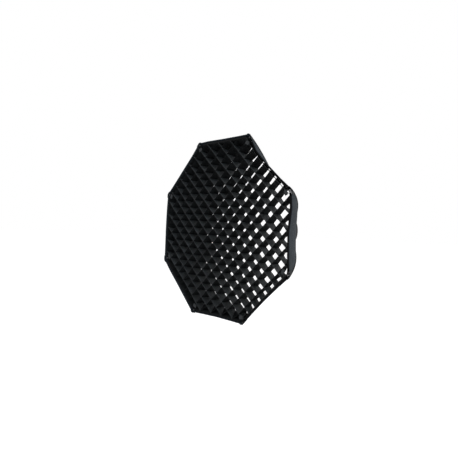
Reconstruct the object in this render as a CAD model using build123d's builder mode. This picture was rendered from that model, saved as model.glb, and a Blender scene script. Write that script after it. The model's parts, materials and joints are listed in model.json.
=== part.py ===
from build123d import *
from math import cos, radians, sin, sqrt, tan
import os

# Quick-fold octabox: eight hinged ribs on a round hub, a fabric shell, a white
# front diffuser and a deep fabric grid.  Millimetres, +Z up, the front faces -Y.
# The origin is the centre of the light opening on the rear face of the mount.
# "Forward" distances are measured from that face towards the front, so y = -forward.

# ---- driving dimensions -------------------------------------------------------
SIDES = 8
STEP = 360 / SIDES
HALF = STEP / 2
RIM_RADIUS = 450.0          # corner of the front rim, 900 mm across corners
RIM_FORWARD = 470.0         # front rim
RIB_BOW_RADIUS = 1337.0     # the ribs are sprung into this arc
RIB_LEAN = 27.7             # degrees between the rib and the axis, at the rim
SHELL_CLOTH = 1.2
SHELL_BACK_RADIUS = 110.0   # rear edge of the shell, at a rib

HINGE_RADIUS = 90.0         # circle of rib hinges
HINGE_FORWARD = 40.0
HINGE_PIN = 2.0             # radius
RUNNING = 0.05              # radial clearance of a turning fit
FACE_GAP = 0.2              # between faces that turn on each other
OVERLAP = 1.0               # how far one solid runs into the one that it joins

LIGHT_OPENING = 49.0        # radius of the opening for the lamp
SPIGOT_RADIUS = 54.0        # front spigot of the mount insert, turns in the hub
INSERT_RADIUS = 74.0        # outer rim of the mount insert
INSERT_SEAT = 66.0          # seat that meets the light
RING_THICKNESS = 3.0        # retaining ring
HUB_RADIUS = 106.0
HUB_BACK = 3.0              # forward distance of the hub's rear face
HUB_PLATE_BACK = 12.2
HUB_PLATE_FRONT = 18.0
SCREW_CIRCLE = 84.0

LOCK_FORWARD = 8.0          # the lock screw's axis
LOCK_STUD = 3.0             # radius
LOCK_KNOB_START = 113.0
LOCK_KNOB_END = 130.0

SLEEVE_IN = 55.0
SLEEVE_OUT = 58.0
SLEEVE_FRONT = 74.0
RUNNER_IN = 58.3
RUNNER_OUT = 61.0
RUNNER_WIDTH = 10.0
CRANK_RADIUS = 67.45        # distance of the crank pins from the box axis
CRANK_PIN = 2.0
CRANK_LEAN = 20.0           # the crank arm leans this far forward at rest

ROD = 2.25                  # radius
ROD_INSET = 5.5             # rod axis inside the outer face of the shell
CAP = 3.5                   # radius of a tip cap
ROD_FRONT = 463.0
SOCKET_START = 100.0        # distances of the rod socket from the box axis
SOCKET_END = 126.0

GRID_CELLS = 17
GRID_CLOTH = 1.2
GRID_FRONT = 468.0
GRID_DEPTH = 50.0
GRID_INSET = 11.0           # corner of the grid inside the outer face of the shell
BORDER = 2.0
SLIT = 1.8

SHEET = 0.8
SHEET_FRONT = 412.3
SHEET_RADIUS = 404.0
HEM_WIDTH = 25.0
HEM = 2.0

GAP = 0.3                   # between soft parts

# ---- the rib arc ---------------------------------------------------------------
# All ribs and gores follow one arc in the plane of a rib.
BOW_X = RIM_RADIUS - RIB_BOW_RADIUS * cos(radians(RIB_LEAN))
BOW_Y = -RIM_FORWARD - RIB_BOW_RADIUS * sin(radians(RIB_LEAN))
PITCH = 2 * RIM_RADIUS * cos(radians(HALF)) / GRID_CELLS
CRANK_FORWARD = HINGE_FORWARD + (HINGE_RADIUS - CRANK_RADIUS) * tan(radians(CRANK_LEAN))


def rib_radius(forward, inset=0.0):
    """Distance from the box axis of the rib arc, moved inwards by inset."""
    return BOW_X + sqrt((RIB_BOW_RADIUS - inset) ** 2 - (-forward - BOW_Y) ** 2)


def rib_forward(radius, inset=0.0):
    """Forward distance of the rib arc at a distance from the box axis."""
    return -BOW_Y - sqrt((RIB_BOW_RADIUS - inset) ** 2 - (radius - BOW_X) ** 2)


def rib_angles():
    """Directions of the eight ribs round the box axis, in degrees."""
    return [HALF + STEP * number for number in range(SIDES)]


def turned(shape, angle):
    """A copy of a shape turned round the box axis, from +X towards +Z."""
    return shape.rotate(Axis.Y, -angle)


def save(shape, name):
    shape.label = name
    export_step(shape, f"parts/{name}.step")


os.makedirs("parts", exist_ok=True)

# ---- mount insert: the ring that locks on the light ----------------------------
# A flange with a stepped rim, a front spigot that turns in the hub, and a rear
# collar with three bayonet lugs.
COLLAR = 55.0
COLLAR_LENGTH = 9.0
LUG_RADIUS = 61.0
LUG_THICKNESS = 3.5
LUG_ANGLE = 40.0
LUGS = 3
LUG_CHAMFER = 0.8

with BuildPart() as mount_insert:
    with BuildSketch(Plane.XY):
        with BuildLine():
            Polyline(
                (LIGHT_OPENING, -HUB_PLATE_FRONT),
                (SPIGOT_RADIUS, -HUB_PLATE_FRONT),
                (SPIGOT_RADIUS, -HUB_PLATE_BACK + FACE_GAP),
                (INSERT_RADIUS, -HUB_PLATE_BACK + FACE_GAP),
                (INSERT_RADIUS, -RING_THICKNESS - FACE_GAP),
                (INSERT_SEAT, -RING_THICKNESS - FACE_GAP),
                (INSERT_SEAT, 0),
                (COLLAR, 0),
                (COLLAR, COLLAR_LENGTH),
                (LIGHT_OPENING, COLLAR_LENGTH),
                close=True,
            )
        make_face()
    revolve(axis=Axis.Y)
    lug_half = LUG_ANGLE / 2
    with BuildSketch(Plane.XZ.offset(-COLLAR_LENGTH)):
        with PolarLocations(0, LUGS, start_angle=90):
            with BuildLine():
                lug_arc = CenterArc((0, 0), LUG_RADIUS, -lug_half, LUG_ANGLE)
                inner_arc = CenterArc((0, 0), COLLAR - OVERLAP, -lug_half, LUG_ANGLE)
                Line(lug_arc @ 0, inner_arc @ 0)
                Line(lug_arc @ 1, inner_arc @ 1)
            make_face()
    extrude(amount=LUG_THICKNESS)
    chamfer(mount_insert.edges().filter_by(GeomType.CIRCLE).group_by(Axis.Y)[0], LUG_CHAMFER)
save(mount_insert.part, "mount_insert")

# ---- hub: cast plate with eight hinge forks and the lock screw's boss -----------
EAR_INNER = 83.0
EAR_OUTER = 97.5
EAR_FRONT = 46.0
EAR_START = 5.1
EAR_THICKNESS = 4.0
BOSS_HALF = 9.0
BOSS_END = 105.0
BOSS_BURIED = 6.0
BOSS_ROUND = 3.0
WALL_OUTER = 94.0
WALL_SLOPE = 1.2
EAR_ROUND = 5.0
HINGE_BORE = 12.0           # half length of a hinge pin's bore
TAPPED = 1.8                # radius of a threaded hole
TAPPED_DEPTH = 8.0

with BuildPart() as hub_plate:
    with BuildSketch(Plane.XY):
        with BuildLine():
            Polyline(
                (SPIGOT_RADIUS + RUNNING, -HUB_PLATE_FRONT),
                (HUB_RADIUS, -HUB_PLATE_FRONT),
                (HUB_RADIUS, -HUB_PLATE_BACK),
                (WALL_OUTER, -HUB_PLATE_BACK + WALL_SLOPE),
                (WALL_OUTER, -HUB_BACK),
                (INSERT_RADIUS + GAP, -HUB_BACK),
                (INSERT_RADIUS + GAP, -HUB_PLATE_BACK),
                (SPIGOT_RADIUS + RUNNING, -HUB_PLATE_BACK),
                close=True,
            )
        make_face()
    revolve(axis=Axis.Y)
    # the forks: two ears each side of a rib's knuckle
    ear_middle = EAR_START + EAR_THICKNESS / 2
    with BuildSketch(Plane.XZ.offset(HUB_PLATE_FRONT - OVERLAP)):
        with PolarLocations((EAR_INNER + EAR_OUTER) / 2, SIDES, start_angle=HALF):
            with Locations((0, ear_middle), (0, -ear_middle)):
                Rectangle(EAR_OUTER - EAR_INNER, EAR_THICKNESS)
    extrude(amount=EAR_FRONT - HUB_PLATE_FRONT + OVERLAP)
    ear_tips = hub_plate.edges().filter_by(GeomType.LINE).group_by(Axis.Y)[0]
    ear_sides = [edge for edge in ear_tips if abs(edge.length - EAR_THICKNESS) < 0.01]
    fillet(ear_sides, EAR_ROUND)
    # the boss under the hub that carries the lock screw
    with BuildSketch(Plane.XY.offset(-BOSS_END)):
        with Locations((0, -(HUB_PLATE_FRONT + HUB_BACK) / 2)):
            RectangleRounded(2 * BOSS_HALF, HUB_PLATE_FRONT - HUB_BACK, BOSS_ROUND)
    extrude(amount=BOSS_END - WALL_OUTER + BOSS_BURIED)
    with BuildSketch(Plane.XY.offset(-BOSS_END - OVERLAP)):
        with Locations((0, -LOCK_FORWARD)):
            Circle(LOCK_STUD + RUNNING)
    extrude(amount=BOSS_END - INSERT_RADIUS + 2 * OVERLAP, mode=Mode.SUBTRACT)
    # bores for the hinge pins
    for angle in rib_angles():
        bore_plane = Plane(
            origin=(
                HINGE_RADIUS * cos(radians(angle)),
                -HINGE_FORWARD,
                HINGE_RADIUS * sin(radians(angle)),
            ),
            z_dir=(-sin(radians(angle)), 0, cos(radians(angle))),
        )
        with BuildSketch(bore_plane):
            Circle(HINGE_PIN)
        extrude(amount=HINGE_BORE, both=True, mode=Mode.SUBTRACT)
    # threaded holes for the retaining ring's screws
    with BuildSketch(Plane.XZ.offset(HUB_BACK)):
        with PolarLocations(SCREW_CIRCLE, SIDES, start_angle=HALF):
            Circle(TAPPED)
    extrude(amount=TAPPED_DEPTH, mode=Mode.SUBTRACT)
save(hub_plate.part, "hub_plate")

# ---- retaining ring: holds the insert in the hub so that it can turn -------------
RING_OUTER = 93.0
SCREW_SHANK = 1.75          # radii of the screws and of their holes
SCREW_HEAD = 3.5
SCREW_HOLE = 2.0
COUNTERSINK = 3.6
COUNTERSINK_DEPTH = 1.8
SCREW_LENGTH = 10.0
HEAD_DEPTH = 1.75
CROSS_LENGTH = 4.0
CROSS_WIDTH = 0.8
CROSS_DEPTH = 1.0

with BuildPart() as retaining_ring:
    with BuildSketch(Plane.XZ):
        Circle(RING_OUTER)
        Circle(INSERT_SEAT + GAP, mode=Mode.SUBTRACT)
    extrude(amount=RING_THICKNESS)
    with BuildSketch(Plane.XZ):
        with PolarLocations(SCREW_CIRCLE, SIDES, start_angle=HALF):
            Circle(SCREW_HOLE)
    extrude(amount=RING_THICKNESS, mode=Mode.SUBTRACT)
    with BuildSketch(Plane.XZ):
        with PolarLocations(SCREW_CIRCLE, SIDES, start_angle=HALF):
            Circle(COUNTERSINK)
    extrude(amount=COUNTERSINK_DEPTH, taper=45, mode=Mode.SUBTRACT)
save(retaining_ring.part, "retaining_ring")

with BuildPart() as retaining_screws:
    with BuildSketch(Plane.XZ):
        with PolarLocations(SCREW_CIRCLE, SIDES, start_angle=HALF):
            Circle(SCREW_HEAD)
    extrude(amount=HEAD_DEPTH, taper=45)
    with BuildSketch(Plane.XZ):
        with PolarLocations(SCREW_CIRCLE, SIDES, start_angle=HALF):
            Circle(SCREW_SHANK)
    extrude(amount=SCREW_LENGTH)
    with BuildSketch(Plane.XZ):
        with PolarLocations(SCREW_CIRCLE, SIDES, start_angle=HALF):
            Rectangle(CROSS_LENGTH, CROSS_WIDTH)
            Rectangle(CROSS_WIDTH, CROSS_LENGTH)
    extrude(amount=CROSS_DEPTH, mode=Mode.SUBTRACT)
save(retaining_screws.part, "retaining_screws")

# ---- lock screw: a stud with a lobed thumb knob under the hub --------------------
KNOB_RADIUS = 12.0
KNOB_LOBES = 6
LOBE_CUT = 4.0              # radius of the hollows between the lobes
LOBE_OUT = 1.5
KNOB_ROUND = 1.5
STUD_IN_KNOB = 10.0

with BuildPart() as lock_stud:
    with BuildSketch(Plane.XY.offset(-INSERT_RADIUS - GAP)):
        with Locations((0, -LOCK_FORWARD)):
            Circle(LOCK_STUD)
    extrude(amount=-(LOCK_KNOB_START + STUD_IN_KNOB - INSERT_RADIUS - GAP))
save(lock_stud.part, "lock_stud")

with BuildPart() as lock_knob:
    with BuildSketch(Plane.XY.offset(-LOCK_KNOB_START)):
        with Locations((0, -LOCK_FORWARD)):
            Circle(KNOB_RADIUS)
            with PolarLocations(KNOB_RADIUS + LOBE_OUT, KNOB_LOBES):
                Circle(LOBE_CUT, mode=Mode.SUBTRACT)
    extrude(amount=-(LOCK_KNOB_END - LOCK_KNOB_START))
    fillet(lock_knob.faces().sort_by(Axis.Z)[0].edges(), KNOB_ROUND)
    with BuildSketch(Plane.XY.offset(-LOCK_KNOB_START)):
        with Locations((0, -LOCK_FORWARD)):
            Circle(LOCK_STUD)
    extrude(amount=-STUD_IN_KNOB, mode=Mode.SUBTRACT)
save(lock_knob.part, "lock_knob")

# ---- sleeve: the tube that the runner slides on ----------------------------------
STOP_BACK = 62.0
STOP_LENGTH = 4.0
STOP_HEIGHT = 2.5
FLANGE_WIDTH = 8.0
FLANGE_THICKNESS = 2.0

with BuildPart() as sleeve:
    with BuildSketch(Plane.XY):
        with BuildLine():
            Polyline(
                (SLEEVE_IN, -HUB_PLATE_FRONT),
                (SLEEVE_OUT + FLANGE_WIDTH, -HUB_PLATE_FRONT),
                (SLEEVE_OUT + FLANGE_WIDTH, -HUB_PLATE_FRONT - FLANGE_THICKNESS),
                (SLEEVE_OUT, -HUB_PLATE_FRONT - FLANGE_THICKNESS),
                (SLEEVE_OUT, -STOP_BACK),
                (SLEEVE_OUT + STOP_HEIGHT, -STOP_BACK),
                (SLEEVE_OUT + STOP_HEIGHT, -STOP_BACK - STOP_LENGTH),
                (SLEEVE_OUT, -STOP_BACK - STOP_LENGTH),
                (SLEEVE_OUT, -SLEEVE_FRONT),
                (SLEEVE_IN, -SLEEVE_FRONT),
                close=True,
            )
        make_face()
    revolve(axis=Axis.Y)
save(sleeve.part, "sleeve")

# ---- spring catches: four leaf springs that hold the runner forward ---------------
CATCH_WIDTH = 9.0
CATCH_LEAF = 0.6
CATCH_NOSE = CRANK_FORWARD - RUNNER_WIDTH / 2 - 0.5  # just behind the runner
CATCH_BACK = 22.0
CATCH_FOOT = 8.0
CATCH_TIP = 1.2
CATCH_IN = SLEEVE_OUT + 0.05  # inner face of the foot
CATCH_OUT = SLEEVE_OUT + 3.0  # inner face of the nose
CATCHES = 4
RIVET = 1.8
RIVET_HEIGHT = 1.0
RIVET_ROUND = 0.2

with BuildPart() as spring_catch:
    with BuildSketch(Plane.XY):
        with BuildLine():
            Polyline(
                (CATCH_IN, -CATCH_BACK),
                (CATCH_IN, -CATCH_BACK - CATCH_FOOT),
                (CATCH_OUT, -CATCH_NOSE + CATCH_TIP),
                (CATCH_OUT, -CATCH_NOSE),
                (CATCH_OUT + CATCH_LEAF, -CATCH_NOSE),
                (CATCH_OUT + CATCH_LEAF, -CATCH_NOSE + CATCH_TIP),
                (CATCH_IN + CATCH_LEAF, -CATCH_BACK - CATCH_FOOT),
                (CATCH_IN + CATCH_LEAF, -CATCH_BACK),
                close=True,
            )
        make_face()
    extrude(amount=CATCH_WIDTH / 2, both=True)
    with BuildSketch(Plane.YZ.offset(CATCH_IN + CATCH_LEAF)):
        with Locations((-CATCH_BACK - CATCH_FOOT / 2, 0)):
            Circle(RIVET)
    extrude(amount=RIVET_HEIGHT)
    fillet(spring_catch.faces().sort_by(Axis.X)[-1].edges(), RIVET_ROUND)
catch_set = [turned(spring_catch.part, quarter * 360 / CATCHES) for quarter in range(CATCHES)]
save(Compound(children=catch_set), "spring_catches")

# ---- runner: the ring that opens and folds the ribs --------------------------------
LUG_START = 4.5
LUG_PLATE = 3.0
LUG_OUTER = 71.5
LUG_BURIED = 1.5
CRANK_BORE = 9.0            # half length of a crank pin's bore

with BuildPart() as runner:
    with BuildSketch(Plane.XZ.offset(CRANK_FORWARD - RUNNER_WIDTH / 2)):
        Circle(RUNNER_OUT)
        lug_length = LUG_OUTER - RUNNER_OUT + LUG_BURIED
        with PolarLocations(LUG_OUTER - lug_length / 2, SIDES, start_angle=HALF):
            with Locations((0, LUG_START + LUG_PLATE / 2), (0, -LUG_START - LUG_PLATE / 2)):
                Rectangle(lug_length, LUG_PLATE)
        Circle(RUNNER_IN, mode=Mode.SUBTRACT)
    extrude(amount=RUNNER_WIDTH)
    for angle in rib_angles():
        crank_plane = Plane(
            origin=(
                CRANK_RADIUS * cos(radians(angle)),
                -CRANK_FORWARD,
                CRANK_RADIUS * sin(radians(angle)),
            ),
            z_dir=(-sin(radians(angle)), 0, cos(radians(angle))),
        )
        with BuildSketch(crank_plane):
            Circle(CRANK_PIN)
        extrude(amount=CRANK_BORE, both=True, mode=Mode.SUBTRACT)
save(runner.part, "runner")

# ---- pins: eight hinge pins in the hub, eight crank pins in the runner -------------
PIN_PROUD = 0.4

with BuildPart() as hinge_pin:
    with BuildSketch(Plane.XY):
        with Locations((HINGE_RADIUS, -HINGE_FORWARD)):
            Circle(HINGE_PIN)
    extrude(amount=EAR_START + EAR_THICKNESS + PIN_PROUD, both=True)
hinge_set = [turned(hinge_pin.part, angle) for angle in rib_angles()]
save(Compound(children=hinge_set), "hinge_pins")

with BuildPart() as crank_pin:
    with BuildSketch(Plane.XY):
        with Locations((CRANK_RADIUS, -CRANK_FORWARD)):
            Circle(CRANK_PIN)
    extrude(amount=LUG_START + LUG_PLATE, both=True)
crank_set = [turned(crank_pin.part, angle) for angle in rib_angles()]
save(Compound(children=crank_set), "crank_pins")

# ---- knuckle: hinge barrel, rod socket and slotted crank arm -----------------------
BARREL = 6.0
BARREL_HALF = 5.0
NECK_FRONT = 5.0
NECK_BACK = 3.0
ARM_HALF = 4.0
SOCKET = 3.7
ARM_ROUND = 2.5
SLOT_CLEARANCE = 0.25       # each side of the crank pin
SLOT_SPARE = 0.5            # beyond the pin's travel at each end
ROD_HOLE = 12.0             # solid length of the socket behind the rod
ROD_FIT = 0.15
ROD_SPARE = 0.5
CRANK_LONG = (HINGE_RADIUS - CRANK_RADIUS) / cos(radians(CRANK_LEAN))
CRANK_SHORT = HINGE_RADIUS - CRANK_RADIUS
SLOT_HALF = CRANK_PIN + SLOT_CLEARANCE
ARM_WALL = 1.5
socket_base = Vector(SOCKET_START, -rib_forward(SOCKET_START, ROD_INSET))
socket_tip = Vector(SOCKET_END, -rib_forward(SOCKET_END, ROD_INSET))
socket_axis = (socket_tip - socket_base).normalized()

with BuildPart() as knuckle:
    with BuildSketch(Plane.XY):
        with Locations((HINGE_RADIUS, -HINGE_FORWARD)):
            Circle(BARREL)
    extrude(amount=BARREL_HALF, both=True)
    # the neck between the barrel and the socket
    neck_start = SOCKET_START + 2
    neck_end = SOCKET_START + 6
    with BuildSketch(Plane.XY):
        with BuildLine():
            Polyline(
                (HINGE_RADIUS - BARREL / 2, -HINGE_FORWARD - NECK_FRONT),
                (neck_start, -rib_forward(neck_start, ROD_INSET) - NECK_FRONT),
                (neck_end, -rib_forward(neck_end, ROD_INSET) + NECK_BACK),
                (HINGE_RADIUS + NECK_FRONT, -HINGE_FORWARD + NECK_BACK),
                close=True,
            )
        make_face()
    extrude(amount=ARM_HALF, both=True)
    with BuildSketch(Plane(origin=socket_base, z_dir=socket_axis)):
        Circle(SOCKET)
    extrude(amount=(socket_tip - socket_base).length)
    # the crank arm points inwards, leaning forward, with a slot for the crank pin
    arm_plane = Plane(
        origin=(HINGE_RADIUS, -HINGE_FORWARD, 0),
        x_dir=(-cos(radians(CRANK_LEAN)), -sin(radians(CRANK_LEAN)), 0),
        z_dir=(0, 0, 1),
    )
    slot_start = CRANK_SHORT - SLOT_SPARE
    slot_end = CRANK_LONG + SLOT_SPARE
    with BuildSketch(arm_plane):
        with Locations(((slot_end + SLOT_HALF + ARM_WALL) / 2, 0)):
            Rectangle(slot_end + SLOT_HALF + ARM_WALL, 2 * (SLOT_HALF + ARM_WALL))
    extrude(amount=ARM_HALF, both=True)
    arm_ends = knuckle.edges().filter_by(Axis.Z).sort_by(Axis.X)[0:2]
    fillet(arm_ends, ARM_ROUND)
    with BuildSketch(arm_plane):
        with Locations(((slot_start + slot_end) / 2, 0)):
            SlotOverall(slot_end - slot_start + 2 * SLOT_HALF, 2 * SLOT_HALF)
    extrude(amount=ARM_HALF, both=True, mode=Mode.SUBTRACT)
    with BuildSketch(Plane.XY):
        with Locations((HINGE_RADIUS, -HINGE_FORWARD)):
            Circle(HINGE_PIN + RUNNING)
    extrude(amount=BARREL_HALF, both=True, mode=Mode.SUBTRACT)
    with BuildSketch(Plane(origin=socket_tip, z_dir=-socket_axis)):
        Circle(ROD + ROD_FIT)
    extrude(amount=(socket_tip - socket_base).length - ROD_HOLE, mode=Mode.SUBTRACT)

# ---- rod: a spring-steel rod bowed along the shell's seam ---------------------------
rod_start = socket_base + socket_axis * (ROD_HOLE + ROD_SPARE)
rod_start_forward = rib_forward(rod_start.X, ROD_INSET)
rod_middle_forward = (rod_start_forward + ROD_FRONT) / 2

with BuildPart() as rod:
    with BuildLine():
        rod_arc = ThreePointArc(
            (rib_radius(rod_start_forward, ROD_INSET), -rod_start_forward),
            (rib_radius(rod_middle_forward, ROD_INSET), -rod_middle_forward),
            (rib_radius(ROD_FRONT, ROD_INSET), -ROD_FRONT),
        )
    with BuildSketch(Plane(origin=rod_arc @ 0, z_dir=rod_arc % 0)):
        Circle(ROD)
    sweep()

# ---- tip cap: the moulded end that sits in the shell's corner pocket ------------------
CAP_LENGTH = 14.0
CAP_BORE = 9.0
CAP_ROUND = 2.0
CAP_FIT = 0.1
CAP_SPARE = 0.3
cap_end = rod_arc @ 1
cap_axis = rod_arc % 1

with BuildPart() as tip_cap:
    with BuildSketch(Plane(origin=cap_end - cap_axis * (CAP_BORE - CAP_SPARE), z_dir=cap_axis)):
        Circle(CAP)
    extrude(amount=CAP_LENGTH)
    fillet(tip_cap.faces().sort_by(Axis.Y)[0].edges(), CAP_ROUND)
    with BuildSketch(Plane(origin=cap_end - cap_axis * (CAP_BORE - CAP_SPARE), z_dir=cap_axis)):
        Circle(ROD + CAP_FIT)
    extrude(amount=CAP_BORE, mode=Mode.SUBTRACT)

for number, angle in enumerate(rib_angles(), start=1):
    save(turned(knuckle.part, angle), f"knuckle_{number}")
    save(turned(rod.part, angle), f"rod_{number}")
    save(turned(tip_cap.part, angle), f"tip_cap_{number}")

# ---- shell: eight gores of coated cloth, each in two halves that fold together --------
# A gore is bent only along the ribs' arc, so its section is that arc seen square on.
SQUARE_ON = cos(radians(HALF))
BACK_FORWARD = rib_forward(SHELL_BACK_RADIUS)
GORE_STATIONS = (BACK_FORWARD, (BACK_FORWARD + RIM_FORWARD) / 2, RIM_FORWARD)


def gore_point(forward, inset):
    """A point of the gore's section, in its middle plane."""
    return (rib_radius(forward, inset) * SQUARE_ON, -forward)


with BuildPart() as half_gore:
    with BuildSketch(Plane.XY.offset(GAP / 2)):
        with BuildLine():
            outer = ThreePointArc(*[gore_point(f, 0) for f in GORE_STATIONS])
            inner = ThreePointArc(*[gore_point(f, SHELL_CLOTH) for f in GORE_STATIONS])
            Line(outer @ 0, inner @ 0)
            Line(outer @ 1, inner @ 1)
        make_face()
    extrude(amount=RIM_RADIUS * sin(radians(HALF)))
    rib_plane_normal = Vector(-sin(radians(HALF)), 0, cos(radians(HALF)))
    split(bisect_by=Plane(origin=rib_plane_normal * -GAP, z_dir=rib_plane_normal), keep=Keep.BOTTOM)
other_half = half_gore.part.mirror(Plane.XY)

for number, angle in enumerate(rib_angles(), start=1):
    middle = angle + HALF
    save(turned(other_half, middle), f"shell_{number}_a")
    save(turned(half_gore.part, middle), f"shell_{number}_b")

# ---- cuff: the elastic collar that closes the shell round the hub ----------------------
CUFF_END = BACK_FORWARD + 6
CUFF_CLOTH = 1.6
CUFF_BAND = 8.0             # the snug band reaches this far past the hub plate
CUFF_IN = HUB_RADIUS + 0.4
CUFF_OUT = HUB_RADIUS + 2.2
cuff_radius = rib_radius(CUFF_END) + 1.5

with BuildPart() as cuff:
    with BuildSketch(Plane.XY):
        with BuildLine():
            Polyline(
                (CUFF_IN, -HUB_PLATE_BACK),
                (CUFF_OUT, -HUB_PLATE_BACK),
                (CUFF_OUT, -HUB_PLATE_FRONT - CUFF_BAND),
                (cuff_radius + CUFF_CLOTH, -CUFF_END),
                (cuff_radius, -CUFF_END),
                (CUFF_IN, -HUB_PLATE_FRONT - CUFF_BAND - OVERLAP),
                close=True,
            )
        make_face()
    revolve(axis=Axis.Y)
save(cuff.part, "cuff")

# ---- diffuser: white cloth with a hook-and-loop hem ------------------------------------
with BuildPart() as diffuser_sheet:
    with BuildSketch(Plane.XZ.offset(SHEET_FRONT - SHEET)):
        RegularPolygon(SHEET_RADIUS, SIDES, rotation=HALF)
    extrude(amount=SHEET)
save(diffuser_sheet.part, "diffuser_sheet")

with BuildPart() as diffuser_hem:
    with BuildSketch(Plane.XZ.offset(SHEET_FRONT - SHEET - HEM)):
        RegularPolygon(SHEET_RADIUS, SIDES, rotation=HALF)
        RegularPolygon(SHEET_RADIUS - HEM_WIDTH, SIDES, rotation=HALF, mode=Mode.SUBTRACT)
    extrude(amount=HEM)
save(diffuser_hem.part, "diffuser_hem")

# ---- grid: border band, two sets of interlocked strips, hook strips and tabs -----------
GRID_BACK = GRID_FRONT - GRID_DEPTH
FRONT_CORNER = rib_radius(GRID_FRONT) - GRID_INSET
BACK_CORNER = rib_radius(GRID_BACK) - GRID_INSET
STRIP_SHORT = 0.5           # the strips stop this far inside the border's edges

with BuildPart() as grid_border:
    for shrink, mode in ((0, Mode.ADD), (BORDER, Mode.SUBTRACT)):
        with BuildSketch(Plane.XZ.offset(GRID_BACK)):
            RegularPolygon(BACK_CORNER - shrink, SIDES, rotation=HALF)
        with BuildSketch(Plane.XZ.offset(GRID_FRONT)):
            RegularPolygon(FRONT_CORNER - shrink, SIDES, rotation=HALF)
        loft(mode=mode)
save(grid_border.part, "grid_border")


def strip_set(rise, slit_from_front):
    """Strips of one diagonal, slit to half their depth where the other set crosses."""
    strips_start = GRID_BACK + STRIP_SHORT
    strips_depth = GRID_DEPTH - 2 * STRIP_SHORT
    slit_start = strips_start + strips_depth / 2 - GAP / 2 if slit_from_front else strips_start - OVERLAP
    count = GRID_CELLS - 1
    diagonal = (1, 0, rise)
    with BuildPart() as strips:
        with BuildSketch(Plane(origin=(0, -strips_start, 0), x_dir=diagonal, z_dir=(0, -1, 0))):
            with GridLocations(1, PITCH, 1, count):
                Rectangle(2 * RIM_RADIUS, GRID_CLOTH)
        extrude(amount=strips_depth)
        with BuildSketch(Plane(origin=(0, -slit_start, 0), x_dir=diagonal, z_dir=(0, -1, 0))):
            with GridLocations(PITCH, 1, count, 1):
                Rectangle(SLIT, 2 * RIM_RADIUS)
        extrude(amount=strips_depth / 2 + GAP / 2 + OVERLAP, mode=Mode.SUBTRACT)
        with BuildSketch(Plane.XZ.offset(GRID_BACK)):
            RegularPolygon(BACK_CORNER - BORDER - GAP, SIDES, rotation=HALF)
        with BuildSketch(Plane.XZ.offset(GRID_FRONT)):
            RegularPolygon(FRONT_CORNER - BORDER - GAP, SIDES, rotation=HALF)
        loft(mode=Mode.INTERSECT)
    return strips.part


save(strip_set(1, True), "grid_rising_strips")
save(strip_set(-1, False), "grid_falling_strips")

HOOK_LENGTH = 290.0
HOOK_WIDTH = 25.0
HOOK_SETBACK = 4.0          # behind the border's front edge
HOOK_GAP = 0.05
HOOK_CLEAR = 1.0            # to the inside of the shell


def border_face(forward):
    """Distance of the border's outer face from the axis, in the middle of a side."""
    along = (forward - GRID_BACK) / GRID_DEPTH
    return (BACK_CORNER + along * (FRONT_CORNER - BACK_CORNER)) * SQUARE_ON


with BuildPart() as hook_strip:
    hook_front = GRID_FRONT - HOOK_SETBACK
    hook_back = hook_front - HOOK_WIDTH
    shell_inset = SHELL_CLOTH + HOOK_CLEAR
    with BuildSketch(Plane.XY):
        with BuildLine():
            Polyline(
                (border_face(hook_back) + HOOK_GAP, -hook_back),
                (border_face(hook_front) + HOOK_GAP, -hook_front),
                (rib_radius(hook_front, shell_inset) * SQUARE_ON, -hook_front),
                (rib_radius(hook_back, shell_inset) * SQUARE_ON, -hook_back),
                close=True,
            )
        make_face()
    extrude(amount=HOOK_LENGTH / 2, both=True)
save(
    Compound(children=[turned(hook_strip.part, number * STEP) for number in range(SIDES)]),
    "grid_hook_strips",
)

TAB_WIDTH = 22.0
TAB_LENGTH = 16.0
TAB_INSET = 22.0            # middle of the tab inside the grid's corner
TAB_ROUND = 3.0
TAB_CLOTH = 1.4
TAB_GAP = 0.1

with BuildPart() as corner_tab:
    with BuildSketch(Plane.XZ.offset(GRID_FRONT + TAB_GAP)):
        with Locations((FRONT_CORNER - TAB_INSET, 0)):
            RectangleRounded(TAB_LENGTH, TAB_WIDTH, TAB_ROUND)
    extrude(amount=TAB_CLOTH)
save(
    Compound(children=[turned(corner_tab.part, angle) for angle in rib_angles()]),
    "grid_corner_tabs",
)
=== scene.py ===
import json
from math import cos, pi, radians, sin, sqrt, tan

import bmesh
import bpy
import numpy as np
from mathutils import Matrix, Vector


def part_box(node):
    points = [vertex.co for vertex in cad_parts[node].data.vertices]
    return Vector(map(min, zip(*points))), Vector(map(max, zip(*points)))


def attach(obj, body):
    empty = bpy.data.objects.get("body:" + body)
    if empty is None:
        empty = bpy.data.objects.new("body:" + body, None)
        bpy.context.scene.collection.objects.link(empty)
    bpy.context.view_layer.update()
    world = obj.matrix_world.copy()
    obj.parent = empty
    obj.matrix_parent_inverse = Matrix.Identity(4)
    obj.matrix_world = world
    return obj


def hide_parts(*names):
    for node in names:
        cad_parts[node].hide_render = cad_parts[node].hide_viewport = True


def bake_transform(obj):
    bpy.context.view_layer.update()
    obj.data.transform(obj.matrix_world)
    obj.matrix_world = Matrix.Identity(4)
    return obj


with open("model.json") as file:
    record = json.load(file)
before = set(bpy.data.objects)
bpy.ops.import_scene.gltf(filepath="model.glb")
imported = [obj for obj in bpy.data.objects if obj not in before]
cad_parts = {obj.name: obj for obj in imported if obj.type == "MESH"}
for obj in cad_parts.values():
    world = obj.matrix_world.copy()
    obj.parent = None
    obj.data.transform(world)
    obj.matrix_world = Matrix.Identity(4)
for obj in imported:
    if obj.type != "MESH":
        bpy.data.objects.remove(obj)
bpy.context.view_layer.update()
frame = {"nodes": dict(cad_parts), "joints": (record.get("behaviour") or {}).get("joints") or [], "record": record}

# ---------------------------------------------------------------------------
# Studio: a pale floor well below the hanging box, a white sweep of light all
# round it, and a camera level with the box, a little to the box's own right.
# ---------------------------------------------------------------------------
SIDES = 8
HALF = pi / SIDES
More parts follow.
